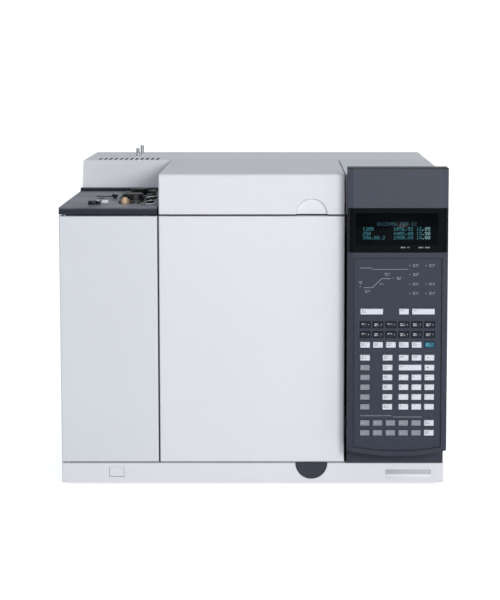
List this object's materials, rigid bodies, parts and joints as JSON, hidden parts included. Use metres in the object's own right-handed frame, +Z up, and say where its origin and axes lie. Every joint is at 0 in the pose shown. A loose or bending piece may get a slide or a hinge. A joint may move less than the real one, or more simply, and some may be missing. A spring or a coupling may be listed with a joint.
{
  "type": "gas chromatograph",
  "caption": "Bench-top gas chromatograph with a side-hung oven door, a hinged detector lid, sample inlets in a dark plate and a tall keypad fascia with display.",
  "frame": {"origin": "centre of the bounding box's base, on the bench", "axes": "+Z up, -Y towards the user, +X to the user's right"},
  "size_m": [0.58, 0.54, 0.4912],
  "materials": {
    "door_white": "satin powder paint",
    "lid_white": "fine moulded texture",
    "cover_grey": "satin powder paint",
    "trim_white": "fine moulded texture",
    "tray_steel": "satin powder paint",
    "foot_rubber": "moulded",
    "plate_dark": "fine moulded texture",
    "fascia_dark": "fine moulded texture",
    "faceplate_dark": "satin film overlay",
    "window_black": "polished",
    "key_dark": "fine moulded texture",
    "key_grey": "fine moulded texture",
    "key_white": "fine moulded texture",
    "key_teal": "fine moulded texture",
    "oven_steel": "satin stainless",
    "frame_black": "heat-proof matt paint",
    "insulation_wool": "pressed ceramic fibre",
    "gasket_rope": "woven heat-proof rope",
    "zinc_steel": "zinc plated",
    "bright_steel": "polished",
    "brass_fittings": "machined",
    "heater_wire": "oxidised",
    "column_amber": "polyimide coated",
    "cap_black": "moulded",
    "module_grey": "machined",
    "board_green": "solder mask",
    "supply_case": "folded sheet"
  },
  "bodies": {
    "chassis": {"base_tray": "tray_steel", "base_front_trim": "trim_white", "rubber_feet": "foot_rubber", "left_side_panel": "cover_grey", "electronics_cover": "cover_grey", "rear_panel": "cover_grey", "gas_control_cover": "cover_grey", "inlet_plate": "plate_dark", "oven_front_frame": "frame_black", "top_deck": "zinc_steel", "lid_hinge_rod": "zinc_steel", "bulkhead": "tray_steel", "oven_insulation": "insulation_wool", "oven_liner": "oven_steel", "fan_shroud": "oven_steel", "heater_coil": "heater_wire", "fan_motor": "zinc_steel", "oven_ducts": "oven_steel", "inlet_bodies": "bright_steel", "front_detector": "bright_steel", "back_detector": "bright_steel", "gas_lines": "bright_steel", "gas_modules": "module_grey", "logic_board": "board_green", "power_supply": "supply_case", "rear_connectors": "cap_black", "gas_fittings": "brass_fittings", "vent_tubes": "bright_steel", "column_cage": "oven_steel", "column_coil": "column_amber", "control_fascia": "fascia_dark", "display_window": "window_black", "keypad_faceplate": "faceplate_dark", "control_board": "board_green", "door_hinge_pins": "zinc_steel"},
    "oven_door": {"door_pan": "frame_black", "door_skin_left": "door_white", "door_skin_right": "door_white", "door_insulation": "insulation_wool", "door_gasket": "gasket_rope"},
    "lid": {"detector_lid": "lid_white"},
    "release_button": {"door_release": "plate_dark"},
    "power": {"power_button": "trim_white"},
    "fan": {"oven_fan": "oven_steel"},
    "flap": {"exhaust_flap": "zinc_steel"},
    "front_cap": {"front_inlet_cap": "cap_black"},
    "back_cap": {"back_inlet_cap": "cap_black"},
    "prep_run_button": {"prep_run_key": "key_white"},
    "stop_button": {"stop_key": "key_white"},
    "start_button": {"start_key": "key_white"},
    "method_group": {"method_keys": "key_dark"},
    "function_group": {"function_keys": "key_white"},
    "shift_button": {"shift_key": "key_teal"},
    "edit_group": {"edit_keys": "key_white"},
    "on_off_group": {"on_off_keys": "key_white"},
    "arrow_group": {"arrow_keys": "key_white"},
    "enter_button": {"enter_key": "key_white"},
    "number_group": {"number_keys": "key_white"},
    "program_group": {"program_keys": "key_grey"},
    "record_group": {"record_keys": "key_white"}
  },
  "joints": [
    {"name": "door_hinge", "type": "hinge", "parent": "chassis", "child": "oven_door", "pos_m": [-0.282, -0.232, 0.2], "axis": [0, 0, -1], "range_deg": [0, 110]},
    {"name": "lid_hinge", "type": "hinge", "parent": "chassis", "child": "lid", "pos_m": [0, 0.06, 0.472], "axis": [-1, 0, 0], "range_deg": [0, 90]},
    {"name": "release_push", "type": "slide", "parent": "chassis", "child": "release_button", "axis": [0, 1, 0], "range_m": [0, 0.004], "stiffness_N_per_m": 400},
    {"name": "power_push", "type": "slide", "parent": "chassis", "child": "power", "axis": [0, 1, 0], "range_m": [0, 0.0025], "stiffness_N_per_m": 500},
    {"name": "fan_spin", "type": "hinge", "parent": "chassis", "child": "fan", "pos_m": [-0.076, 0.01, 0.226], "axis": [0, 1, 0], "continuous": true},
    {"name": "flap_hinge", "type": "hinge", "parent": "chassis", "child": "flap", "pos_m": [-0.18, 0.255, 0.354], "axis": [1, 0, 0], "range_deg": [0, 75]},
    {"name": "front_cap_turn", "type": "hinge", "parent": "chassis", "child": "front_cap", "pos_m": [-0.184, -0.155, 0.436], "axis": [0, 0, 1], "range_deg": [0, 25]},
    {"name": "back_cap_turn", "type": "hinge", "parent": "chassis", "child": "back_cap", "pos_m": [-0.184, -0.065, 0.436], "axis": [0, 0, 1], "range_deg": [0, 25]},
    {"name": "prep_run_key_push", "type": "slide", "parent": "chassis", "child": "prep_run_button", "axis": [0, 1, 0], "range_m": [0, 0.0012], "stiffness_N_per_m": 500},
    {"name": "stop_key_push", "type": "slide", "parent": "chassis", "child": "stop_button", "axis": [0, 1, 0], "range_m": [0, 0.0012], "stiffness_N_per_m": 500},
    {"name": "start_key_push", "type": "slide", "parent": "chassis", "child": "start_button", "axis": [0, 1, 0], "range_m": [0, 0.0012], "stiffness_N_per_m": 500},
    {"name": "method_keys_push", "type": "slide", "parent": "chassis", "child": "method_group", "axis": [0, 1, 0], "range_m": [0, 0.0012], "stiffness_N_per_m": 500},
    {"name": "function_keys_push", "type": "slide", "parent": "chassis", "child": "function_group", "axis": [0, 1, 0], "range_m": [0, 0.0012], "stiffness_N_per_m": 500},
    {"name": "shift_key_push", "type": "slide", "parent": "chassis", "child": "shift_button", "axis": [0, 1, 0], "range_m": [0, 0.0012], "stiffness_N_per_m": 500},
    {"name": "edit_keys_push", "type": "slide", "parent": "chassis", "child": "edit_group", "axis": [0, 1, 0], "range_m": [0, 0.0012], "stiffness_N_per_m": 500},
    {"name": "on_off_keys_push", "type": "slide", "parent": "chassis", "child": "on_off_group", "axis": [0, 1, 0], "range_m": [0, 0.0012], "stiffness_N_per_m": 500},
    {"name": "arrow_keys_push", "type": "slide", "parent": "chassis", "child": "arrow_group", "axis": [0, 1, 0], "range_m": [0, 0.0012], "stiffness_N_per_m": 500},
    {"name": "enter_key_push", "type": "slide", "parent": "chassis", "child": "enter_button", "axis": [0, 1, 0], "range_m": [0, 0.0012], "stiffness_N_per_m": 500},
    {"name": "number_keys_push", "type": "slide", "parent": "chassis", "child": "number_group", "axis": [0, 1, 0], "range_m": [0, 0.0012], "stiffness_N_per_m": 500},
    {"name": "program_keys_push", "type": "slide", "parent": "chassis", "child": "program_group", "axis": [0, 1, 0], "range_m": [0, 0.0012], "stiffness_N_per_m": 500},
    {"name": "record_keys_push", "type": "slide", "parent": "chassis", "child": "record_group", "axis": [0, 1, 0], "range_m": [0, 0.0012], "stiffness_N_per_m": 500}
  ]
}
